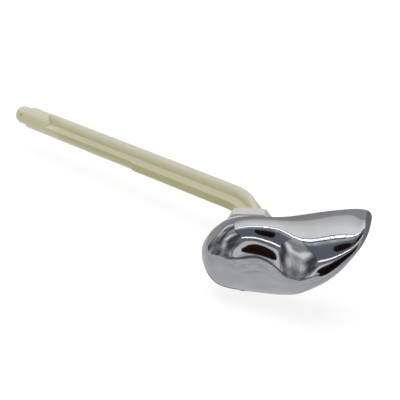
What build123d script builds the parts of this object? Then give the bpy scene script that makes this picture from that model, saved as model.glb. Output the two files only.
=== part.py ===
from build123d import *
import os
from math import cos, radians, sin, tan

# Cistern lever. Millimetres. The origin is on the spindle's axis, in the plane of the tank's outer face.
# +Y runs along the spindle into the tank, +X towards the handle's tip, +Z up.

# Bush: a flange outside the tank wall, a square shoulder in the wall's hole, and a threaded barrel
flange_d = 35.4
flange_t = 2.4
flange_chamfer = 0.6
shoulder_side = 19.0
shoulder_len = 2.2
thread_d = 18.8
barrel_end = 17.0
barrel_chamfer = 0.8

# Hexagon nut on the barrel, with the tank wall's gap between it and the flange
nut_across_flats = 27.0
nut_t = 6.0
nut_gap = 7.7
nut_turn = 5.5
nut_chamfer_angle = 24.0
nut_clearance = 0.1
nut_mouth_chamfer = 0.8

# Spindle, moulded with the arm: journal in the bush, thrust collar inside the tank, square tang in the handle
spindle_d = 11.5
running_clearance = 0.05
end_play = 0.3
collar_d = 17.0
collar_t = 2.4
tang_side = 8.2
tang_round = 0.8
tang_len = 12.0
tang_clearance = 0.05
tang_end_gap = 0.5

# Arm: a bent stretch with an upright rib and a shelf across it, a keeled stretch with the same rib,
# a round end block and a slimmer nose. Places along the arm count from where its axis meets the spindle's.
arm_angle = 25.3
elbow_reach = 35.25
rib_t = 3.6
rib_top = 7.6
rib_under = 6.2
shelf_near = 7.1
shelf_far = 4.6
shelf_top = 2.1
shelf_under = 2.9
rod_d = 12.5
keel_start = 80.5
block_start = 144.5
rib_end = 146.5
block_end = 164.5
nose_d = 10.4
nose_len = 3.5

# Handle: a lofted shell, open at the back, along an axis that rises from the hub to the tip
handle_tilt = 22.0
rim_gap = 0.6
handle_wall = 2.4
hub_d = 15.5
screw_boss_d = 9.5

# Set screw, from below through the handle's boss onto the tang
screw_d = 5.0
screw_len = 15.1
screw_clearance = 0.05
screw_socket = 2.5
screw_socket_depth = 2.5
screw_point = 0.8

# Stops: two lugs on the bush's flange, one each side of the handle's screw boss
press_angle = 25.0
stop_gap = 0.3
lug_thick = 3.6
lug_inner = 9.0
lug_outer = 14.0

# Handle stations: place along the axis, top, bottom, front of the face, height of the front point,
# then the fullness of the curve above and below that point
handle_stations = [
    (-21.6, 1.3, -1.6, -6.3, 0.2, 0.55, 0.55),
    (-20.4, 6.3, -7.5, -10.2, -1.1, 0.57, 0.57),
    (-17.0, 10.9, -13.9, -14.9, -2.5, 0.62, 0.53),
    (-10.0, 15.9, -18.0, -17.6, -2.3, 0.59, 0.55),
    (0.0, 18.7, -21.2, -21.0, -1.9, 0.37, 0.55),
    (10.0, 17.5, -24.2, -21.5, -3.5, 0.35, 0.62),
    (20.0, 14.4, -22.4, -25.7, -9.2, 0.29, 0.63),
    (30.0, 12.7, -17.7, -29.6, -9.0, 0.26, 0.62),
    (41.0, 11.8, -13.5, -29.0, -6.6, 0.25, 0.62),
    (52.0, 10.4, -7.4, -24.0, -2.8, 0.24, 0.60),
    (58.8, 9.0, -1.2, -19.2, 0.3, 0.36, 0.58),
    (62.0, 7.3, 1.9, -13.6, 2.8, 0.57, 0.54),
    (63.0, 5.8, 3.3, -8.0, 4.2, 0.55, 0.55),
]
hollow_stations = handle_stations[2:10]

# Places that follow from the sizes
rim_y = -flange_t - rim_gap
hub_end_y = -flange_t - end_play
screw_y = hub_end_y - tang_len / 2
collar_y = barrel_end + end_play
elbow_start = collar_y + collar_t
elbow_turn = 90 - arm_angle
elbow_tangent = elbow_reach - elbow_start
elbow_r = elbow_tangent / tan(radians(elbow_turn / 2))
handle_axis = Vector(cos(radians(handle_tilt)), 0, sin(radians(handle_tilt)))
arm_axis = Vector(-cos(radians(arm_angle)), sin(radians(arm_angle)), 0)
arm_side = Vector(-sin(radians(arm_angle)), -cos(radians(arm_angle)), 0)

os.makedirs("parts", exist_ok=True)


def spindle_plane(y):
    """Plane across the spindle that looks into the tank: sketch x is -X, sketch y is +Z."""
    return Plane(origin=(0, y, 0), x_dir=(-1, 0, 0), z_dir=(0, 1, 0))


def arm_plane(place):
    """Plane across the arm: sketch x is its near side, sketch y is up."""
    return Plane(origin=Vector(0, elbow_reach, 0) + arm_axis * place, x_dir=arm_side, z_dir=arm_axis)


def handle_plane(place):
    """Plane across the handle's axis: sketch x is the frame's Y, sketch y is up across the axis."""
    return Plane(origin=handle_axis * place, x_dir=(0, 1, 0), z_dir=handle_axis)


def shelf_section(plane):
    """The arm's section at the bend: an upright rib with a shelf across it, wider on the near side."""
    with BuildSketch(plane) as section:
        with Locations((0, (rib_top - rib_under) / 2)):
            SlotOverall(rib_top + rib_under, rib_t, rotation=90)
        with Locations(((shelf_near - shelf_far) / 2, (shelf_top - shelf_under) / 2)):
            Rectangle(shelf_near + shelf_far, shelf_top + shelf_under)
    return section.sketch


def keel_section(plane):
    """The arm's section further out: a half-round keel with a flat top."""
    with BuildSketch(plane) as section:
        Circle(rod_d / 2)
        with Locations((0, rod_d / 2)):
            Rectangle(rod_d, rod_d, mode=Mode.SUBTRACT)
        with Locations((0, shelf_top / 2)):
            Rectangle(rod_d, shelf_top)
    return section.sketch


def rib_section(plane):
    """The rib where it stands on the keel."""
    with BuildSketch(plane) as section:
        with Locations((0, rib_top / 2)):
            SlotOverall(rib_top, rib_t, rotation=90)
    return section.sketch


def handle_section(station, inset, back_y):
    """One closed section of the handle: flat at the back, one full curve over the face and under."""
    place, top, bottom, front, front_height, full_above, full_below = station
    top = top - inset
    bottom = bottom + inset
    front = front + inset
    depth = back_y - front
    front_point = (front, front_height)
    with BuildSketch(handle_plane(place)) as section:
        with BuildLine():
            Bezier(
                (back_y, top),
                (back_y - full_above * depth, top),
                (front, front_height + full_above * (top - front_height)),
                front_point,
            )
            Bezier(
                front_point,
                (front, front_height - full_below * (front_height - bottom)),
                (back_y - full_below * depth, bottom),
                (back_y, bottom),
            )
            Line((back_y, bottom), (back_y, top))
        make_face()
    return section.sketch


# Bush, with the spindle's bore and the stop lugs on its front
lug_x = screw_boss_d / 2 + stop_gap + lug_thick / 2
lug_z = -(lug_inner + lug_outer) / 2
lug_height = -screw_y - flange_t
with BuildPart() as bushing:
    with BuildSketch(spindle_plane(-flange_t)):
        Circle(flange_d / 2)
    extrude(amount=flange_t)
    chamfer(bushing.edges().group_by(Axis.Y)[0], flange_chamfer)
    with BuildSketch(spindle_plane(0)):
        Rectangle(shoulder_side, shoulder_side)
    extrude(amount=shoulder_len)
    with BuildSketch(spindle_plane(0)):
        Circle(thread_d / 2)
    extrude(amount=barrel_end)
    chamfer(bushing.edges().group_by(Axis.Y)[-1], barrel_chamfer)
    with BuildSketch(spindle_plane(-flange_t)):
        with Locations((-lug_x, lug_z), Location((0, 0, 0), (0, 0, press_angle)) * Location((lug_x, lug_z, 0))):
            Rectangle(lug_thick, lug_outer - lug_inner)
    extrude(amount=-lug_height)
    with BuildSketch(spindle_plane(-flange_t)):
        Circle(spindle_d / 2 + running_clearance)
    extrude(amount=flange_t + barrel_end, mode=Mode.SUBTRACT)
bushing.part.label = "bushing"
export_step(bushing.part, "parts/bushing.step")

# Nut: a hexagon with its outer corners turned off on the side away from the tank wall
nut_corner_r = nut_across_flats / 2 / cos(radians(30))
nut_end_y = nut_gap + nut_t
corner_drop = (nut_corner_r - nut_across_flats / 2) * tan(radians(nut_chamfer_angle))
with BuildPart() as mounting_nut:
    with BuildSketch(spindle_plane(nut_gap)):
        RegularPolygon(nut_corner_r, 6, rotation=-nut_turn)
    extrude(amount=nut_t)
    with BuildSketch(Plane.XY):
        with BuildLine():
            Polyline(
                (0, nut_gap),
                (nut_corner_r, nut_gap),
                (nut_corner_r, nut_end_y - corner_drop),
                (nut_across_flats / 2, nut_end_y),
                (0, nut_end_y),
                close=True,
            )
        make_face()
    revolve(axis=Axis.Y, mode=Mode.INTERSECT)
    with BuildSketch(spindle_plane(nut_gap)):
        Circle(thread_d / 2 + nut_clearance)
    extrude(amount=nut_t, mode=Mode.SUBTRACT)
    chamfer(mounting_nut.edges().filter_by(GeomType.CIRCLE).sort_by(SortBy.RADIUS)[:2], nut_mouth_chamfer)
mounting_nut.part.label = "mounting_nut"
export_step(mounting_nut.part, "parts/mounting_nut.step")

# Arm, with its spindle
with BuildPart() as arm:
    with BuildSketch(spindle_plane(hub_end_y)):
        RectangleRounded(tang_side, tang_side, tang_round)
    extrude(amount=-tang_len)
    with BuildSketch(spindle_plane(hub_end_y)):
        Circle(spindle_d / 2)
    extrude(amount=collar_y - hub_end_y)
    with BuildSketch(spindle_plane(collar_y)):
        Circle(collar_d / 2)
    extrude(amount=collar_t)
    revolve(
        shelf_section(spindle_plane(elbow_start)),
        axis=Axis((-elbow_r, elbow_start, 0), (0, 0, 1)),
        revolution_arc=elbow_turn,
    )
    extrude(shelf_section(arm_plane(elbow_tangent)), amount=keel_start - elbow_tangent)
    extrude(keel_section(arm_plane(keel_start)), amount=block_start - keel_start)
    extrude(rib_section(arm_plane(keel_start)), amount=rib_end - keel_start)
    nose_centre = block_end + nose_len
    end_plane = Plane(origin=arm_plane(0).origin, x_dir=arm_axis, z_dir=(0, 0, 1))
    with BuildSketch(end_plane):
        with BuildLine():
            Polyline(
                (nose_centre + nose_d / 2, 0),
                (block_start, 0),
                (block_start, rod_d / 2),
                (block_end, rod_d / 2),
                (block_end, nose_d / 2),
                (nose_centre, nose_d / 2),
            )
            CenterArc((nose_centre, 0), nose_d / 2, 0, 90)
        make_face()
    revolve(axis=Axis(end_plane.origin, arm_axis))
arm.part.label = "arm"
export_step(arm.part, "parts/arm.step")

# Handle: the hollow leaves the hub and the screw boss standing
with BuildPart() as hollow:
    loft([handle_section(station, handle_wall, rim_y + rim_gap) for station in hollow_stations], ruled=True)
    with BuildSketch(spindle_plane(rim_y + rim_gap)):
        Circle(hub_d / 2)
    extrude(amount=-flange_d, mode=Mode.SUBTRACT)
    with BuildSketch(Plane.XY):
        with Locations((0, screw_y)):
            Circle(screw_boss_d / 2)
    extrude(amount=-flange_d, mode=Mode.SUBTRACT)

with BuildPart() as handle:
    loft([handle_section(station, 0, rim_y) for station in handle_stations])
    add(hollow.part, mode=Mode.SUBTRACT)
    with BuildSketch(spindle_plane(hub_end_y)):
        Circle(hub_d / 2)
    extrude(amount=rim_y - hub_end_y)
    with BuildSketch(spindle_plane(hub_end_y)):
        Rectangle(tang_side + 2 * tang_clearance, tang_side + 2 * tang_clearance)
    extrude(amount=-tang_len - tang_end_gap, mode=Mode.SUBTRACT)
    with BuildSketch(Plane.XY):
        with Locations((0, screw_y)):
            Circle(screw_d / 2 + screw_clearance)
    extrude(amount=-flange_d, mode=Mode.SUBTRACT)
handle.part.label = "handle"
export_step(handle.part, "parts/handle.step")

# Set screw: its point bears on the tang's underside, its hexagon socket faces down
with BuildPart() as set_screw:
    with BuildSketch(Plane.XY.offset(-tang_side / 2)):
        with Locations((0, screw_y)):
            Circle(screw_d / 2)
    extrude(amount=-screw_len)
    chamfer(set_screw.edges().group_by(Axis.Z)[-1], screw_point)
    with BuildSketch(Plane.XY.offset(-tang_side / 2 - screw_len)):
        with Locations((0, screw_y)):
            RegularPolygon(screw_socket / 2, 6, major_radius=False)
    extrude(amount=screw_socket_depth, mode=Mode.SUBTRACT)
set_screw.part.label = "set_screw"
export_step(set_screw.part, "parts/set_screw.step")
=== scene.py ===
from math import cos, pi, radians, sin, tan

import bmesh
import bpy
import numpy as np
from mathutils import Matrix, Vector


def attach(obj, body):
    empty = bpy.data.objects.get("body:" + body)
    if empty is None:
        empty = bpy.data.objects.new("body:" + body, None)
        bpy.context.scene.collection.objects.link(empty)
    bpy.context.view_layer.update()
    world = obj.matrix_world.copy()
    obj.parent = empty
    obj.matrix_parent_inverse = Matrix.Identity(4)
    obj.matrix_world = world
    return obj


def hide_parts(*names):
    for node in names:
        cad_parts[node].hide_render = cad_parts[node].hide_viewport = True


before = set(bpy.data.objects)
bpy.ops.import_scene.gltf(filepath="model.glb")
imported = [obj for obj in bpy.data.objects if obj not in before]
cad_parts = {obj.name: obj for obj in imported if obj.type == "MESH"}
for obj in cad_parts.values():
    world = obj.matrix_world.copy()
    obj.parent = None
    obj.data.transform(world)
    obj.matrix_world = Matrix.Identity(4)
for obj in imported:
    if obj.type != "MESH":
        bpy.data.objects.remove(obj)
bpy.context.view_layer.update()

# Bush: a white moulding with a round flange outside the tank wall, a square shoulder in the wall's hole,
# a coarse thread inside the tank, and two lugs on its front that stop the handle. The nut holds it.
mm = 0.001
flange_r, flange_t, flange_front_round, flange_back_round = 17.7, 2.4, 0.7, 0.3
shoulder_side, shoulder_len, shoulder_edge = 19.0, 2.2, 0.35
thread_r, thread_depth, thread_pitch, crest_share, flank_share = 9.4, 0.75, 2.0, 0.11, 0.24
barrel_end, barrel_chamfer, bore_r, bore_edge = 17.0, 0.9, 5.8, 0.3
lug_x, lug_z, lug_size, lug_edge = 6.85, -11.5, (3.6, 6.3, 5.0), 0.4
lug_root, lug_turn = 0.01, 25.0


def mesh_piece(name, bm, sharp_angle):
    """A mesh object from bm, welded, and smooth except at edges sharper than the angle."""
    bmesh.ops.remove_doubles(bm, verts=bm.verts, dist=1e-7)
    bmesh.ops.recalc_face_normals(bm, faces=bm.faces)
    mesh = bpy.data.meshes.new(name)
    bm.to_mesh(mesh)
    bm.free()
    for face in mesh.polygons:
        face.use_smooth = True
    mesh.set_sharp_from_angle(angle=radians(sharp_angle))
    piece = bpy.data.objects.new(name, mesh)
    bpy.context.scene.collection.objects.link(piece)
    return piece


def add_grid(bm, points, closed):
    """Quads over a grid of points; closed joins the last column to the first."""
    rows, columns = points.shape[:2]
    verts = [[bm.verts.new(Vector(p) * mm) for p in row] for row in points]
    for i in range(rows - 1):
        for j in range(columns if closed else columns - 1):
            k = (j + 1) % columns
            bm.faces.new((verts[i][j], verts[i][k], verts[i + 1][k], verts[i + 1][j]))
    return verts


def turned(profile, steps=96):
    """Grid of points for a profile of (radius, place along the spindle) turned about the spindle."""
    angle = np.linspace(0, 2 * pi, steps, endpoint=False)
    r, y = np.array(profile, float).T
    ring = np.stack([np.cos(angle), np.zeros(steps), np.sin(angle)], -1)
    return r[:, None, None] * ring + y[:, None, None] * np.array([0, 1, 0])


def add_block(bm, size, centre, edge, swing=0.0):
    """A box with softened edges, as a moulding has, swung round the spindle by an angle in degrees."""
    made = bmesh.ops.create_cube(bm, size=1.0)["verts"]
    swung = Matrix.Rotation(radians(swing), 4, "Y") @ Matrix.Translation([c * mm for c in centre])
    bmesh.ops.transform(bm, verts=made, matrix=swung @ Matrix.Diagonal((*[s * mm for s in size], 1)))
    edges = list({e for v in made for e in v.link_edges})
    bmesh.ops.bevel(bm, geom=edges, offset=edge * mm, segments=3, affect="EDGES", profile=0.5)


def rounded_corner(centre, radius, start, end, steps):
    """Points (radius, place) along a corner's arc, by angle from the radius towards +Y."""
    angles = np.linspace(radians(start), radians(end), steps)
    return [(centre[0] + radius * cos(a), centre[1] + radius * sin(a)) for a in angles]


bm = bmesh.new()
front_centre = (flange_r - flange_front_round, -flange_t + flange_front_round)
back_centre = (flange_r - flange_back_round, -flange_back_round)
flange = [(bore_r, -flange_t)]
flange += rounded_corner(front_centre, flange_front_round, -90, 0, steps=7)
flange += rounded_corner(back_centre, flange_back_round, 0, 90, steps=4)
flange += [(thread_r - thread_depth, 0)]
add_grid(bm, turned(flange, steps=160), closed=True)
add_block(bm, (shoulder_side, shoulder_len, shoulder_side), (0, shoulder_len / 2, 0), shoulder_edge)
around = np.linspace(0, 2 * pi, 120, endpoint=False)
along = np.linspace(0, barrel_end, 170)
place, turn = np.meshgrid(along, around, indexing="ij")
phase = (place / thread_pitch - turn / (2 * pi)) % 1.0
flank = np.clip((np.abs(phase - 0.5) - crest_share) / flank_share, 0, 1)
radius = thread_r - thread_depth * flank * flank * (3 - 2 * flank)
radius = np.minimum(radius, thread_r - barrel_chamfer + (barrel_end - place))
add_grid(bm, np.stack([radius * np.cos(turn), place, radius * np.sin(turn)], -1), closed=True)
bore = [
    (thread_r - barrel_chamfer, barrel_end),
    (bore_r + bore_edge, barrel_end),
    (bore_r, barrel_end - bore_edge),
    (bore_r, -flange_t),
]
add_grid(bm, turned(bore), closed=True)
lug_y = -flange_t - lug_size[1] / 2 + lug_root
for side, swing in ((1, 0), (-1, lug_turn)):
    add_block(bm, lug_size, (side * lug_x, lug_y, lug_z), lug_edge, swing)
bush = mesh_piece("bush_moulding", bm, sharp_angle=35)


def feed(node, inputs):
    """Link outputs into a node's inputs, and set plain values on their own sockets."""
    for key, value in inputs.items():
        if isinstance(value, bpy.types.NodeSocket):
            node.id_data.links.new(value, node.inputs[key])
        else:
            node.inputs[key].default_value = value


def node_adder(tree):
    """A function that adds a node to the tree, with its settings and inputs."""
    def add(kind, inputs=None, **settings):
        node = tree.nodes.new(kind)
        for key, value in settings.items():
            setattr(node, key, value)
        feed(node, inputs or {})
        return node
    return add


def node_material(name):
    """A node material, its principled shader, and a function that adds nodes to it."""
    material = bpy.data.materials.new(name)
    material.use_nodes = True
    return material, material.node_tree.nodes["Principled BSDF"], node_adder(material.node_tree)


def noise(add, spot, scale, detail, distortion=0.0):
    """A cloudy value over the surface."""
    inputs = {"Vector": spot, "Scale": scale, "Detail": detail, "Distortion": distortion}
    return add("ShaderNodeTexNoise", inputs).outputs["Fac"]


def graded(add, value, low, high, start=0.0, end=1.0):
    """A value that goes from low to high while the given one goes from start to end."""
    inputs = {"Value": value, "From Min": start, "From Max": end, "To Min": low, "To Max": high}
    return add("ShaderNodeMapRange", inputs).outputs["Result"]


def relief(add, height, strength, depth):
    """A surface direction that follows a slight relief."""
    inputs = {"Height": height, "Strength": strength, "Distance": depth * mm}
    return add("ShaderNodeBump", inputs).outputs["Normal"]


def colour_ramp(add, factor, stops):
    """A ramp over (place, colour) stops."""
    ramp = add("ShaderNodeValToRGB", {"Fac": factor})
    elements = ramp.color_ramp.elements
    while len(elements) < len(stops):
        elements.new(0.5)
    for element, (place, colour) in zip(elements, stops):
        element.position = place
        element.color = (*colour, 1)
    return ramp.outputs["Color"]


white_plastic, shader, add = node_material("white_moulded_plastic")
spot = add("ShaderNodeTexCoord").outputs["Object"]
cloud = noise(add, spot, scale=120.0, detail=3.0)
grain = noise(add, spot, scale=2600.0, detail=2.0)
feed(shader, {
    "Base Color": colour_ramp(add, cloud, [(0.3, (0.52, 0.515, 0.505)), (0.7, (0.56, 0.555, 0.545))]),
    "Roughness": graded(add, grain, 0.36, 0.5),
    "Normal": relief(add, grain, strength=0.08, depth=0.1),
    "Subsurface Weight": 0.6,
    "Subsurface Radius": (1.0, 0.9, 0.75),
    "Subsurface Scale": 2.0 * mm,
})
bush.data.materials.append(white_plastic)
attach(bush, "mount")
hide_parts("bushing")

# Nut: a white moulded hexagon that runs on the bush's thread and clamps the tank wall against the flange.
# The corners of its outer face are turned off in a cone.
nut_half_flats, nut_start, nut_t, nut_turn, nut_cone = 13.5, 7.7, 6.0, -5.5, 20.0
nut_bore, nut_mouth, nut_edge, nut_corner_cut = 9.5, 0.8, 0.4, 0.12
nut_end = nut_start + nut_t
edge_middle = 0.3 * nut_edge
turn = np.linspace(0, 2 * pi, 360, endpoint=False)
from_flat = (turn - radians(nut_turn) + pi / 6) % (pi / 3) - pi / 6
hexagon = np.minimum(nut_half_flats / np.cos(from_flat), nut_half_flats / cos(pi / 6) - nut_corner_cut)
cone_drop = (hexagon - nut_half_flats) * tan(radians(nut_cone))
whole = np.ones_like(turn)
rings = [
    (whole * nut_bore, whole * (nut_start + nut_mouth)),
    (whole * (nut_bore + nut_mouth), whole * nut_start),
    (hexagon - nut_edge, whole * nut_start),
    (hexagon - edge_middle, whole * (nut_start + edge_middle)),
    (hexagon, whole * (nut_start + nut_edge)),
    (hexagon, nut_end - cone_drop - nut_edge),
    (hexagon - edge_middle, nut_end - cone_drop - edge_middle),
    (hexagon - nut_edge, nut_end - cone_drop * (1 - nut_edge / hexagon)),
    (whole * (nut_half_flats - nut_edge), whole * nut_end),
    (whole * (nut_bore + nut_mouth), whole * nut_end),
    (whole * nut_bore, whole * (nut_end - nut_mouth)),
    (whole * nut_bore, whole * (nut_start + nut_mouth)),
]
bm = bmesh.new()
nut_points = [np.stack([r * np.sin(turn), y, r * np.cos(turn)], -1) for r, y in rings]
add_grid(bm, np.array(nut_points), closed=True)
nut = mesh_piece("hexagon_nut", bm, sharp_angle=30)
nut.data.materials.append(white_plastic)
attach(nut, "nut")
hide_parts("mounting_nut")

# Arm: one cream moulding with its spindle, which turns in the bush and carries the handle on a square end.
# From the bend on, a shelf crosses an upright rib; further out the rib stands on a half-round keel that
# ends in a round block and a slimmer nose for the chain's clip.
arm_angle, elbow_start, elbow_reach = radians(25.3), 19.7, 35.25
rib_half, rib_top, rib_under, rib_flat = 1.8, 7.6, 6.2, 0.05
shelf_near, shelf_far, shelf_top, shelf_under = 7.1, 4.6, 2.1, 3.2
rod_r, nose_r, edge_r, crease_r = 6.25, 5.2, 0.5, 0.6
keel_start, block_start, rib_end, block_end, nose_centre = 78.6, 144.5, 146.5, 162.4, 167.95
gate_place, gate_side, gate_up, gate_r, gate_tip_r, gate_rise = 166.3, 4.45, 2.69, 0.8, 0.68, 0.2
spindle_r, spindle_near, spindle_edge, spindle_core = 5.75, -2.7, 0.3, 0.5
collar_r, collar_y, collar_edge, collar_round = 8.5, 17.3, 0.3, 0.5
tang_side, tang_end, tang_edge = 8.2, -14.7, 0.7
elbow_turn = pi / 2 - arm_angle
elbow_r = (elbow_reach - elbow_start) / tan(elbow_turn / 2)
arm_along = np.array([-cos(arm_angle), sin(arm_angle)])
arm_side = np.array([-sin(arm_angle), -cos(arm_angle)])


def rounded_outline(corners, steps=6):
    """Closed outline through corners of (across, up, radius), each rounded off by its own arc."""
    points = []
    for before, corner, after in zip(corners[-1:] + corners[:-1], corners, corners[1:] + corners[:1]):
        at, back, on = [np.array(c[:2], float) for c in (corner, before, after)]
        back = (back - at) / np.linalg.norm(back - at)
        on = (on - at) / np.linalg.norm(on - at)
        half = np.arccos(back @ on) / 2
        middle = (back + on) / np.linalg.norm(back + on)
        centre = at + middle * corner[2] / sin(half)
        start = at + back * corner[2] / tan(half) - centre
        end = at + on * corner[2] / tan(half) - centre
        first = np.arctan2(start[1], start[0])
        sweep = (np.arctan2(end[1], end[0]) - first + pi) % (2 * pi) - pi
        for a in first + sweep * np.linspace(0, 1, steps + 1):
            points.append(centre + corner[2] * np.array([cos(a), sin(a)]))
    return np.array(points)


def arm_ring(outline, origin, side):
    """Points of an outline of (near side, up) set across the arm at a place."""
    return np.column_stack([origin + outline[:, :1] * side, outline[:, 1]])


def arm_place(length):
    """A place on the arm's axis, counted from where it meets the spindle's."""
    return np.array([0, elbow_reach]) + arm_along * length


def add_sweep(bm, rings):
    """A closed skin over rings of points, with both ends capped."""
    verts = add_grid(bm, np.array(rings), closed=True)
    bm.faces.new(verts[0])
    bm.faces.new(verts[-1])


def add_straight(bm, outline, sizes):
    """A stretch of the straight arm: an outline at each (size, length), with both ends capped."""
    add_sweep(bm, [arm_ring(outline * size, arm_place(length), arm_side) for size, length in sizes])


rib_round = rib_half - rib_flat
rib_head = [(rib_half, rib_top, rib_round), (-rib_half, rib_top, rib_round)]
shelf_outline = rounded_outline(rib_head + [
    (-rib_half, shelf_top, crease_r),
    (-shelf_far, shelf_top, edge_r),
    (-shelf_far, -shelf_under, edge_r),
    (-rib_half, -shelf_under, crease_r),
    (-rib_half, -rib_under, rib_round),
    (rib_half, -rib_under, rib_round),
    (rib_half, -shelf_under, crease_r),
    (shelf_near, -shelf_under, edge_r),
    (shelf_near, shelf_top, edge_r),
    (rib_half, shelf_top, crease_r),
])
far_side = [(-rib_half, shelf_top, crease_r), (-rod_r, shelf_top, edge_r)]
half_round = [(rod_r * cos(a), rod_r * sin(a), edge_r) for a in np.linspace(pi, 2 * pi, 25)]
near_side = [(rod_r, shelf_top, edge_r), (rib_half, shelf_top, crease_r)]
keel_outline = rounded_outline(rib_head + far_side + half_round + near_side, steps=4)
rib_outline = rounded_outline(rib_head + [(-rib_half, 0, edge_r), (rib_half, 0, edge_r)])
bm = bmesh.new()
rings = []
for a in np.linspace(0, elbow_turn, 40):
    origin = np.array([elbow_r * cos(a) - elbow_r, elbow_start + elbow_r * sin(a)])
    rings.append(arm_ring(shelf_outline, origin, np.array([-cos(a), -sin(a)])))
rings.append(arm_ring(shelf_outline, arm_place(keel_start), arm_side))
add_sweep(bm, rings)
# The keel's near end, the rib's far end and the block's near end are softened in small steps.
keel_sizes = [(0.94, keel_start), (0.98, keel_start + 0.12), (1.0, keel_start + 0.4), (1.0, block_start)]
add_straight(bm, keel_outline, keel_sizes)
rib_sizes = [(1.0, block_start), (1.0, rib_end - 1.0), (0.96, rib_end - 0.4), (0.86, rib_end)]
add_straight(bm, rib_outline, rib_sizes)
end_profile = [
    (1.0, block_start - 0.5),
    (4.7, block_start),
    (5.6, block_start + 0.5),
    (6.05, block_start + 1.3),
    (rod_r, block_start + 2.4),
]
end_profile += rounded_corner((rod_r - edge_r, block_end - edge_r), edge_r, 0, 90, steps=5)
end_profile += rounded_corner((nose_r + crease_r, block_end + crease_r), crease_r, 270, 180, steps=5)
end_profile += rounded_corner((0, nose_centre), nose_r, 0, 89, steps=24)
around = np.linspace(0, 2 * pi, 120, endpoint=False)
add_straight(bm, np.stack([np.cos(around), np.sin(around)], -1), end_profile)
spindle = [
    (spindle_core, spindle_near),
    (spindle_r - spindle_edge, spindle_near),
    (spindle_r, spindle_near + spindle_edge),
    (spindle_r, collar_y),
    (collar_r - collar_edge, collar_y),
]
collar_centre = (collar_r - collar_round, elbow_start - collar_round)
spindle += rounded_corner(collar_centre, collar_round, 0, 90, steps=5)
spindle += [(spindle_core, elbow_start)]
add_grid(bm, turned(spindle), closed=True)
tang_len = spindle_near - tang_end
add_block(bm, (tang_side, tang_len, tang_side), (0, tang_end + tang_len / 2, 0), tang_edge)
gate_mark = Vector((*(arm_place(gate_place) + arm_side * gate_side), gate_up))
gate_out = Vector((*(arm_side * gate_side), gate_up)).to_track_quat("Z", "Y").to_matrix().to_4x4()
bmesh.ops.create_cone(
    bm,
    cap_ends=True,
    segments=24,
    radius1=gate_r * mm,
    radius2=gate_tip_r * mm,
    depth=gate_rise * mm,
    matrix=Matrix.Translation(gate_mark * mm) @ gate_out,
)
arm = mesh_piece("arm_moulding", bm, sharp_angle=40)


def maths(add, operation, *values):
    """The result of a sum on outputs and plain numbers."""
    return add("ShaderNodeMath", dict(enumerate(values)), operation=operation).outputs[0]


def mixed(add, share, one, other):
    """A colour between two, by the share of the second."""
    return add("ShaderNodeMixRGB", {"Fac": share, "Color1": one, "Color2": other}).outputs["Color"]


# Painted light and shade on the arm: the thick rod's colour changes with the way its surface faces. It is
# painted paler facing down, as light thrown up from the floor, and darker facing up. Its end block is
# painted paler still, and the thin rib is painted paler towards its top, as painted light shining through
# it.
rod_painted_shades = [
    (0.28, (0.93, 0.90, 0.68)),
    (0.46, (0.72, 0.68, 0.42)),
    (0.55, (0.60, 0.56, 0.31)),
    (0.975, (0.49, 0.47, 0.345)),
]
end_painted_shades = [
    (0.28, (0.98, 0.96, 0.80)),
    (0.46, (0.82, 0.78, 0.56)),
    (0.62, (0.67, 0.63, 0.40)),
    (0.87, (0.54, 0.51, 0.35)),
    (0.975, (0.575, 0.555, 0.45)),
]
rib_painted_glow = [(0.1, (0.77, 0.745, 0.56)), (0.95, (0.55, 0.535, 0.45))]
gate_shade, gate_strength, gate_tint_inner, gate_tint_outer = (0.46, 0.42, 0.20, 1), 0.7, 0.7, 1.7
end_shade_x, rod_shade_x = -134.0, -122.0
rib_foot, rib_thin_up, rib_foot_share, shade_wander = 0.25, 5.5, 0.2, 0.16
cream_plastic, shader, add = node_material("cream_moulded_plastic")
coordinates = add("ShaderNodeTexCoord").outputs
spot = coordinates["Object"]
cloud = noise(add, spot, scale=60.0, detail=4.0)
grain = noise(add, spot, scale=2200.0, detail=2.0)
place = add("ShaderNodeSeparateXYZ", {"Vector": spot}).outputs
facing = add("ShaderNodeSeparateXYZ", {"Vector": coordinates["Normal"]}).outputs
upward = maths(add, "MULTIPLY_ADD", cloud, shade_wander, facing["Z"])
from_below = graded(add, upward, 0.0, 1.0, start=-1.0, end=1.0)
# Along the arm, the end block's paler painted shading gives way to the rod's between these two places.
on_rod = graded(add, place["X"], 0.0, 1.0, start=end_shade_x * mm, end=rod_shade_x * mm)
end_painted_shading = colour_ramp(add, from_below, end_painted_shades)
rod_painted_shading = colour_ramp(add, from_below, rod_painted_shades)
thick_painted_shading = mixed(add, on_rod, end_painted_shading, rod_painted_shading)
# The rib's painted glow: paler up its height above the shelf, on the rod but not on the end block.
up_rib = graded(add, place["Z"], rib_foot_share, 1.0, start=shelf_top * mm, end=rib_thin_up * mm)
above_shelf = maths(add, "GREATER_THAN", place["Z"], (shelf_top + rib_foot) * mm)
on_rib = maths(add, "MULTIPLY", above_shelf, on_rod)
painted_glow_share = maths(add, "MULTIPLY", up_rib, on_rib)
tint = mixed(add, painted_glow_share, thick_painted_shading, colour_ramp(add, upward, rib_painted_glow))
# A small spot round the gate mark on the nose is painted darker.
from_gate = add("ShaderNodeVectorMath", {0: spot, 1: gate_mark * mm}, operation="DISTANCE").outputs["Value"]
gate_inner, gate_outer = gate_tint_inner * gate_r * mm, gate_tint_outer * gate_r * mm
at_gate = graded(add, from_gate, gate_strength, 0.0, start=gate_inner, end=gate_outer)
feed(shader, {
    "Base Color": mixed(add, at_gate, tint, gate_shade),
    "Roughness": graded(add, grain, 0.4, 0.54),
    "Normal": relief(add, grain, strength=0.1, depth=0.1),
    "Subsurface Weight": 0.5,
    "Subsurface Radius": (1.0, 0.85, 0.45),
    "Subsurface Scale": 1.5 * mm,
})
arm.data.materials.append(cream_plastic)
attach(arm, "lever")
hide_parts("arm")

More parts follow.
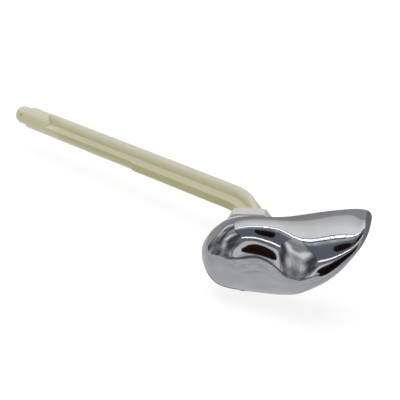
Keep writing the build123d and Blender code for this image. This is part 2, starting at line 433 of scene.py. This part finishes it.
# Handle: a moulded plastic shell, plated to a mirror finish. Its face runs from a round lobe over the
# spindle through a waist to a paddle; its back is hollow, with a hub and a boss for the set screw.
handle_tilt, rim_y, rim_round, handle_wall = radians(22.0), -3.0, 0.5, 2.4
hub_r, hub_end, hub_edge, hub_root = 7.75, -2.7, 0.4, -15.5
tang_room, hub_bore_root = 1.6, -15.2
hub_bore = tang_side / 2 + tang_room
boss_r, boss_top, boss_root, screw_y = 4.75, -6.5, -15.6, -8.7
# Each station: place along the handle, top, bottom, front, height of the front, fullness above and below.
handle_stations = np.array([
    (-21.6, 1.3, -1.6, -6.3, 0.2, 0.55, 0.55),
    (-20.4, 6.3, -7.5, -10.2, -1.1, 0.57, 0.57),
    (-17.0, 10.9, -13.9, -14.9, -2.5, 0.62, 0.53),
    (-10.0, 15.9, -18.0, -17.6, -2.3, 0.59, 0.55),
    (0.0, 18.7, -21.2, -21.0, -1.9, 0.37, 0.55),
    (10.0, 17.5, -24.2, -21.5, -3.5, 0.35, 0.62),
    (20.0, 14.4, -22.4, -25.7, -9.2, 0.29, 0.63),
    (30.0, 12.7, -17.7, -29.4, -9.0, 0.26, 0.62),
    (41.0, 11.8, -13.5, -28.9, -6.6, 0.25, 0.62),
    (52.0, 10.4, -7.4, -24.0, -2.8, 0.24, 0.60),
    (58.8, 8.95, -1.2, -19.2, 0.3, 0.36, 0.58),
    (62.0, 7.3, 1.9, -13.6, 2.8, 0.57, 0.54),
    (63.0, 5.8, 3.3, -8.0, 4.2, 0.55, 0.55),
])
# The hollow back leaves out the stations at the two ends and lies one wall inside the others.
hollow_stations = handle_stations[2:10] + np.array([0, -handle_wall, handle_wall, handle_wall, 0, 0, 0])


def smooth_rows(rows, count):
    """Rows read off natural cubic curves through the given rows, evenly along their length."""
    weights = (1, 0.5, 0.5, 0.5)
    steps = np.sqrt((np.diff(rows[:, :4], axis=0) ** 2 * weights).sum(1))
    knots = np.concatenate([[0], np.cumsum(steps)])
    last = len(rows) - 1
    matrix = np.eye(len(rows))
    bend = np.zeros_like(rows)
    for i in range(1, last):
        matrix[i, i - 1] = steps[i - 1]
        matrix[i, i] = 2 * (steps[i - 1] + steps[i])
        matrix[i, i + 1] = steps[i]
        bend[i] = 6 * ((rows[i + 1] - rows[i]) / steps[i] - (rows[i] - rows[i - 1]) / steps[i - 1])
    bend = np.linalg.solve(matrix, bend)
    u = np.linspace(0, knots[-1], count)
    i = np.clip(np.searchsorted(knots, u) - 1, 0, last - 1)
    h = steps[i][:, None]
    a = (knots[i + 1] - u)[:, None] / h
    b = 1 - a
    return a * rows[i] + b * rows[i + 1] + ((a**3 - a) * bend[i] + (b**3 - b) * bend[i + 1]) * h * h / 6


def handle_skin(rows, edge):
    """Points of the skin over the face, from the upper rim round the front to the lower rim."""
    near_rim = 0.03
    ease = np.concatenate([np.linspace(0, near_rim, 9)[:-1], np.linspace(near_rim, 1, 56)])[None, :]
    place, top, bottom, front, height, above, below = [column[:, None] for column in rows.T]
    depth = rim_y - front
    b0, b1, b2, b3 = (1 - ease) ** 3, 3 * (1 - ease) ** 2 * ease, 3 * (1 - ease) * ease**2, ease**3
    y_above = b0 * rim_y + b1 * (rim_y - above * depth) + (b2 + b3) * front
    up_above = (b0 + b1) * top + b2 * (height + above * (top - height)) + b3 * height
    y_below = b0 * rim_y + b1 * (rim_y - below * depth) + (b2 + b3) * front
    up_below = (b0 + b1) * bottom + b2 * (height - below * (height - bottom)) + b3 * height
    if edge:
        near_above = np.clip(edge - (rim_y - y_above), 0, edge)
        near_below = np.clip(edge - (rim_y - y_below), 0, edge)
        up_above = up_above - (edge - np.sqrt(edge**2 - near_above**2))
        up_below = up_below + (edge - np.sqrt(edge**2 - near_below**2))
    y = np.hstack([y_above, y_below[:, -2::-1]])
    up = np.hstack([up_above, up_below[:, -2::-1]])
    along, lift = cos(handle_tilt), sin(handle_tilt)
    return np.stack([place * along - up * lift, y, place * lift + up * along], -1)


bm = bmesh.new()
skin = add_grid(bm, handle_skin(smooth_rows(handle_stations, 280), rim_round), closed=False)
cavity = add_grid(bm, handle_skin(smooth_rows(hollow_stations, 150), 0), closed=False)
for end in (skin[0], skin[-1], cavity[0], cavity[-1]):
    bm.faces.new(end)
rim_edges = []
for rows in (skin, cavity):
    loop = [row[0] for row in rows] + [row[-1] for row in reversed(rows)]
    for one, other in zip(loop, loop[1:] + loop[:1]):
        rim_edges.append(bm.edges.get((one, other)) or bm.edges.new((one, other)))
bmesh.ops.triangle_fill(bm, edges=rim_edges, use_beauty=True)
hub = [
    (hub_bore, hub_bore_root),
    (hub_bore, hub_end),
    (hub_r - hub_edge, hub_end),
    (hub_r, hub_end - hub_edge),
    (hub_r, hub_root),
]
add_grid(bm, turned(hub), closed=True)
boss = add_grid(bm, turned([(boss_r, boss_top), (boss_r, boss_root)], steps=64), closed=True)
down_from_hub = Matrix.Translation((0, screw_y * mm, 0)) @ Matrix.Rotation(pi / 2, 4, "X")
bmesh.ops.transform(bm, verts=[v for row in boss for v in row], matrix=down_from_hub)
handle = mesh_piece("handle_shell", bm, sharp_angle=50)

mirror_plate, shader, add = node_material("mirror_plating")
spot = add("ShaderNodeTexCoord").outputs["Object"]
cloud = noise(add, spot, scale=70.0, detail=3.0)
wave = noise(add, spot, scale=190.0, detail=1.0)
feed(shader, {
    "Base Color": colour_ramp(add, cloud, [(0.3, (0.56, 0.575, 0.60)), (0.7, (0.62, 0.63, 0.65))]),
    "Metallic": 1.0,
    "Roughness": graded(add, cloud, 0.03, 0.075),
    "Normal": relief(add, wave, strength=0.05, depth=0.2),
})
handle.data.materials.append(mirror_plate)
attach(handle, "lever")
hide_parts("handle")

# Set screw: a steel grub screw from below through the handle's boss, tightened onto the spindle's square
# end. Its point bears on the tang, and the hexagon socket in its other end just shows below the handle.
screw_r, screw_top, screw_end, screw_point, screw_core = 2.5, -tang_side / 2, -19.1, 0.8, 0.05
chamfer_r, chamfer_up, lip_r, lip_up = 1.84, 0.66, 1.62, 0.1
socket_half, socket_depth = 1.25, 2.5
turn = np.linspace(0, 2 * pi, 72, endpoint=False)
whole = np.ones_like(turn)
socket = socket_half / np.cos((turn + pi / 6) % (pi / 3) - pi / 6)
rings = [
    (screw_core * whole, screw_top),
    ((screw_r - screw_point) * whole, screw_top),
    (screw_r * whole, screw_top - screw_point),
    (screw_r * whole, screw_end + chamfer_up),
    (chamfer_r * whole, screw_end + lip_up),
    (lip_r * whole, screw_end),
    (socket, screw_end),
    (socket, screw_end + socket_depth),
    (screw_core * whole, screw_end + socket_depth),
]
bm = bmesh.new()
screw_points = [np.stack([r * np.cos(turn), screw_y + r * np.sin(turn), z * whole], -1) for r, z in rings]
add_grid(bm, np.array(screw_points), closed=True)
screw = mesh_piece("grub_screw", bm, sharp_angle=35)

screw_steel, shader, add = node_material("bright_screw_steel")
spot = add("ShaderNodeTexCoord").outputs["Object"]
turning = noise(add, spot, scale=1500.0, detail=2.0)
feed(shader, {
    "Base Color": colour_ramp(add, turning, [(0.3, (0.36, 0.36, 0.37)), (0.7, (0.5, 0.5, 0.51))]),
    "Metallic": 1.0,
    "Roughness": graded(add, turning, 0.25, 0.42),
})
screw.data.materials.append(screw_steel)
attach(screw, "lever")
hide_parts("set_screw")

# Floor: a sheet of plain white paper, a little below the handle's lowest place when it is pressed.
# It shows white, in the mirror finish too, and keeps the part's soft shadow.
floor_z, floor_side = -25.0, 6000.0
paper_grey, paper_glow, bounce_glow = 0.24, 0.82, 0.3


def shows_plainly(add):
    """1 for what is seen directly, in a mirror or through glass, and 0 for light that falls on things."""
    rays = add("ShaderNodeLightPath").outputs
    mirrored = maths(add, "MAXIMUM", rays["Is Glossy Ray"], rays["Is Transmission Ray"])
    return maths(add, "MAXIMUM", rays["Is Camera Ray"], mirrored)


bpy.ops.mesh.primitive_grid_add(
    x_subdivisions=4, y_subdivisions=4, size=floor_side * mm, location=(0, 0, floor_z * mm)
)
floor = bpy.context.object
floor.name = "paper_floor"
paper, shader, add = node_material("white_paper")
bounce = maths(add, "MULTIPLY", add("ShaderNodeLightPath").outputs["Is Diffuse Ray"], bounce_glow)
feed(shader, {
    "Base Color": (paper_grey, paper_grey, paper_grey, 1),
    "Roughness": 1.0,
    "Specular IOR Level": 0.0,
    "Emission Color": (1, 1, 1, 1),
    "Emission Strength": maths(add, "MULTIPLY_ADD", shows_plainly(add), paper_glow, bounce),
})
floor.data.materials.append(paper)

# Light tent: the crumpled silver lining, strip lights and openings round the part, which its mirror finish
# shows. The panels are flat sheets on one turned frame, a layer apart, and only reflections see them.
tent_turn, layer, floor_lift, handle_shadow_lift = 10.0, 0.5, 0.2, 0.3
left, right, front, back, top, bottom = -240.0, 115.0, -228.0, 96.0, 310.0, floor_z + floor_lift
tent = bpy.data.objects.new("light_tent", None)
bpy.context.scene.collection.objects.link(tent)
tent.rotation_euler = (0, 0, radians(tent_turn))


def tent_panel(name, corners, material):
    """A flat panel through its corners, seen in reflections alone."""
    bm = bmesh.new()
    bm.faces.new([bm.verts.new(Vector(corner) * mm) for corner in corners])
    panel = mesh_piece(name, bm, sharp_angle=30)
    panel.data.materials.append(material)
    panel.parent = tent
    for rays_off in ("camera", "diffuse", "shadow", "transmission", "volume_scatter"):
        setattr(panel, "visible_" + rays_off, False)


def flat_sheet(x0, y0, x1, y1, z):
    """Corners of a level sheet."""
    return [(x0, y0, z), (x1, y0, z), (x1, y1, z), (x0, y1, z)]


def upright_sheet(start, end):
    """Corners of an upright sheet between two places on the floor, as high as the tent."""
    return [(*start, bottom), (*end, bottom), (*end, top), (*start, top)]


def soft_oval(centre, half, z):
    """Places round a level oval with fairly square shoulders."""
    squareness = 0.7
    angles = np.linspace(0, 2 * pi, 48, endpoint=False)
    ring = np.stack([np.cos(angles), np.sin(angles)], -1)
    places = np.array(centre) + np.array(half) * (np.sign(ring) * np.abs(ring) ** squareness)
    return [(x, y, z) for x, y in places]


def light_up(material, add, colour, strength=1.0):
    """Make a material's whole surface glow."""
    glow = add("ShaderNodeEmission", {"Color": colour, "Strength": strength})
    feed(material.node_tree.nodes["Material Output"], {"Surface": glow.outputs["Emission"]})


def glow_material(name, dark, light, scale):
    """A lit lining whose brightness wanders between two colours."""
    material, _, add = node_material(name)
    spot = add("ShaderNodeTexCoord").outputs["Object"]
    folds = noise(add, spot, scale, detail=2.0, distortion=0.6)
    light_up(material, add, colour_ramp(add, folds, [(0.38, dark), (0.62, light)]))
    return material


side_sheet = glow_material("side_sheet", (0.20, 0.20, 0.205), (0.34, 0.34, 0.345), 5.0)
front_lining = glow_material("front_lining", (0.30, 0.30, 0.31), (0.72, 0.72, 0.72), 7.0)
back_sheet = glow_material("back_sheet", (0.32, 0.32, 0.33), (0.42, 0.42, 0.425), 3.0)
floor_sheet = glow_material("tent_floor_sheet", (0.46, 0.47, 0.49), (0.60, 0.605, 0.62), 14.0)
room_dark = glow_material("dark_room", (0.008, 0.004, 0.003), (0.02, 0.010, 0.008), 10.0)
dark_band_and_shadow = glow_material("dark_band_and_shadow", (0.10, 0.105, 0.115), (0.17, 0.175, 0.185), 12.0)
seam_dark = glow_material("dark_seam", (0.03, 0.035, 0.05), (0.06, 0.07, 0.10), 10.0)

fold_lean, fold_stretch = radians(-20), (1.0, 17.0, 6.0)
fold_shades = [
    (0.36, (0.06, 0.065, 0.075)),
    (0.47, (0.24, 0.245, 0.255)),
    (0.56, (0.42, 0.42, 0.425)),
    (0.66, (0.95, 0.95, 0.95)),
]
crumpled_lining, _, add = node_material("crumpled_lining")
spot = add("ShaderNodeTexCoord").outputs["Object"]
slant = add("ShaderNodeMapping", {"Vector": spot, "Rotation": (fold_lean, 0, 0), "Scale": fold_stretch})
folds = noise(add, slant.outputs["Vector"], scale=1.0, detail=2.5, distortion=0.3)
light_up(crumpled_lining, add, colour_ramp(add, folds, fold_shades))

# The ceiling lining is painted dark towards the front and brightest in a band just behind the back strip, a
# painted pool of light that fades towards the back.
ceiling_reach, ceiling_sway = 0.24, 0.05
ceiling_painted_light = [
    (0.0, (0.20, 0.21, 0.23)),
    (0.25, (0.13, 0.145, 0.17)),
    (0.40, (0.15, 0.17, 0.20)),
    (0.46, (1.0, 1.0, 1.0)),
    (0.54, (0.94, 0.94, 0.94)),
    (0.64, (0.74, 0.74, 0.74)),
    (0.78, (0.56, 0.56, 0.56)),
]
ceiling_lining, _, add = node_material("ceiling_lining")
spot = add("ShaderNodeTexCoord").outputs["Object"]
folds = noise(add, spot, scale=9.0, detail=3.0, distortion=1.0)
place = add("ShaderNodeSeparateXYZ", {"Vector": spot}).outputs
sway = maths(add, "MULTIPLY_ADD", folds, ceiling_sway, place["Y"])
from_front = graded(add, sway, 0.0, 1.0, start=-ceiling_reach, end=ceiling_reach)
light_up(ceiling_lining, add, colour_ramp(add, from_front, ceiling_painted_light))

lamp_pitch, lamp_half, lamp_glow, gap_glow = 9.0, 0.28, 3.6, 0.4
gap_colour, lamp_colour = (0.9, 0.88, 0.95), (1, 1, 1)
strip_light, _, add = node_material("strip_light")
spot = add("ShaderNodeTexCoord").outputs["Object"]
place = add("ShaderNodeSeparateXYZ", {"Vector": spot}).outputs
beat = maths(add, "FRACT", maths(add, "MULTIPLY", place["X"], 1 / (lamp_pitch * mm)))
dots = [(0.0, gap_colour), (0.3, lamp_colour), (0.7, lamp_colour), (1.0, gap_colour)]
pulse = maths(add, "COMPARE", beat, 0.5, lamp_half)
power = maths(add, "MULTIPLY_ADD", pulse, lamp_glow, gap_glow)
light_up(strip_light, add, colour_ramp(add, beat, dots), power)

tent_panel("tent_floor", flat_sheet(left, front, right, back, bottom), floor_sheet)
tent_panel("tent_ceiling", flat_sheet(left, front, right, back, top), ceiling_lining)
tent_panel("tent_left_wall", upright_sheet((left, front), (left, back)), crumpled_lining)
tent_panel("tent_right_wall", upright_sheet((right, front), (right, back)), side_sheet)
tent_panel("tent_front_wall", upright_sheet((left, front), (right, front)), front_lining)
tent_panel("tent_back_wall", upright_sheet((left, back), (right, back)), back_sheet)

# A dark sheet on the ceiling round the back strip: a painted shadow of the strip's fitting, which the
# mirror finish shows as a dark outline to the strip.
strip_shadow_front, strip_shadow_back, strip_shadow_z = -62.0, -39.0, top - 2 * layer
strip_left, strip_right, strip_width, strip_z = left + 3.0, 100.0, 10.0, top - 4 * layer
strip_shadow_sheet = flat_sheet(left, strip_shadow_front, right, strip_shadow_back, strip_shadow_z)
tent_panel("tent_back_strip_shadow", strip_shadow_sheet, seam_dark)
for strip_name, strip_y in (("tent_back_strip", -54.0), ("tent_front_strip", -188.0)):
    strip = flat_sheet(strip_left, strip_y, strip_right, strip_y + strip_width, strip_z)
    tent_panel(strip_name, strip, strip_light)

# A dark oval on the tent floor under the handle: a painted shadow of the handle, which its mirror finish
# shows along its lower edge.
handle_shadow_centre, handle_shadow_half, handle_shadow_z = (16.0, 3.0), (44.0, 12.0), bottom + handle_shadow_lift
hole_centre, hole_half, hole_z = (-82.0, -117.0), (34.0, 28.0), top - 2 * layer
tent_panel("tent_floor_handle_shadow", soft_oval(handle_shadow_centre, handle_shadow_half, handle_shadow_z), dark_band_and_shadow)
tent_panel("tent_camera_hole", soft_oval(hole_centre, hole_half, hole_z), room_dark)

opening = [
    (-202, 205), (-190, 245), (-160, 265), (-120, 276), (-70, 282), (-20, 275), (40, 250), (66, 205),
    (70, 140), (45, 85), (-15, 64), (-75, 74), (-112, 104), (-135, 144), (-160, 157), (-188, 170),
]
tent_panel("tent_opening", [(x, front + 4 * layer, z) for x, z in opening], room_dark)

# Darker bands just above the sill, along the front and left walls.
dark_band_height, sill_height = 30.0, 52.0
sill = [
    (left, bottom), (left, sill_height), (-205, 70), (-175, 86), (-150, 98), (-125, 104),
    (-60, 60), (0, 45), (60, 65), (right, 80), (right, bottom),
]
left_sill = [
    (front, bottom), (front, sill_height), (front + 50, bottom + 6), (back, bottom + 2), (back, bottom),
]
tent_panel("tent_sill_edge", [(x, front + layer, z + dark_band_height) for x, z in sill], dark_band_and_shadow)
tent_panel("tent_left_dark_band", [(left + layer, y, z + dark_band_height) for y, z in left_sill], dark_band_and_shadow)
tent_panel("tent_left_sill", [(left + 2 * layer, y, z) for y, z in left_sill], floor_sheet)
tent_panel("tent_sill", [(x, front + 2 * layer, z) for x, z in sill], floor_sheet)

left_seam, front_seam, corner_seam = left + 5.0, front + 4.0, front + 6.0
tent_panel("tent_left_seam", flat_sheet(left, front, left_seam, back, top - layer), seam_dark)
tent_panel("tent_front_seam", flat_sheet(left, front, right, front_seam, top - layer), seam_dark)
tent_panel("tent_corner_seam", upright_sheet((left + layer, front), (left + layer, corner_seam)), seam_dark)

# Soft light: a pale surround on every side and one wide lamp high above, which the mirror finish does not
# show. Together they light the part evenly, with a soft shadow under it.
surround_level, shown_level = 0.5, 1.0
lamp_wide, lamp_deep, lamp_power, lamp_lean = 700.0, 500.0, 4.0, -8.0
lamp_place = (-50.0, -100.0, 700.0)
world = bpy.data.worlds.new("studio")
bpy.context.scene.world = world
world.use_nodes = True
add = node_adder(world.node_tree)
feed(world.node_tree.nodes["Background"], {
    "Color": (1, 1, 1, 1),
    "Strength": graded(add, shows_plainly(add), surround_level, shown_level),
})
lamp_data = bpy.data.lights.new("wide_lamp", "AREA")
lamp_data.shape = "RECTANGLE"
lamp_data.size = lamp_wide * mm
lamp_data.size_y = lamp_deep * mm
lamp_data.energy = lamp_power
lamp = bpy.data.objects.new("wide_lamp", lamp_data)
lamp.location = [c * mm for c in lamp_place]
lamp.rotation_euler = (radians(lamp_lean), 0, 0)
lamp.visible_glossy = False
bpy.context.scene.collection.objects.link(lamp)

# Camera: above the part and a little to the right of the handle's front, with a long lens.
# It aims at a place above and to the left of the spindle's axis, so that the whole arm is in view.
view_turn, view_rise, view_distance = radians(11.8), radians(32.4), 480.0
aim_right, aim_up, lens, sensor = -22.686, 22.254, 90.07, 36.0
view_right = Vector((cos(view_turn), sin(view_turn), 0))
view_back = Vector((sin(view_turn) * cos(view_rise), -cos(view_turn) * cos(view_rise), sin(view_rise)))
view_up = view_back.cross(view_right)
target = aim_right * view_right + aim_up * view_up
camera_data = bpy.data.cameras.new("camera")
camera_data.lens = lens
camera_data.sensor_width = sensor
camera = bpy.data.objects.new("camera", camera_data)
camera.location = (target + view_distance * view_back) * mm
camera.rotation_euler = view_back.to_track_quat("Z", "Y").to_euler()
bpy.context.scene.collection.objects.link(camera)
bpy.context.scene.camera = camera
bpy.context.scene.view_settings.view_transform = "Standard"
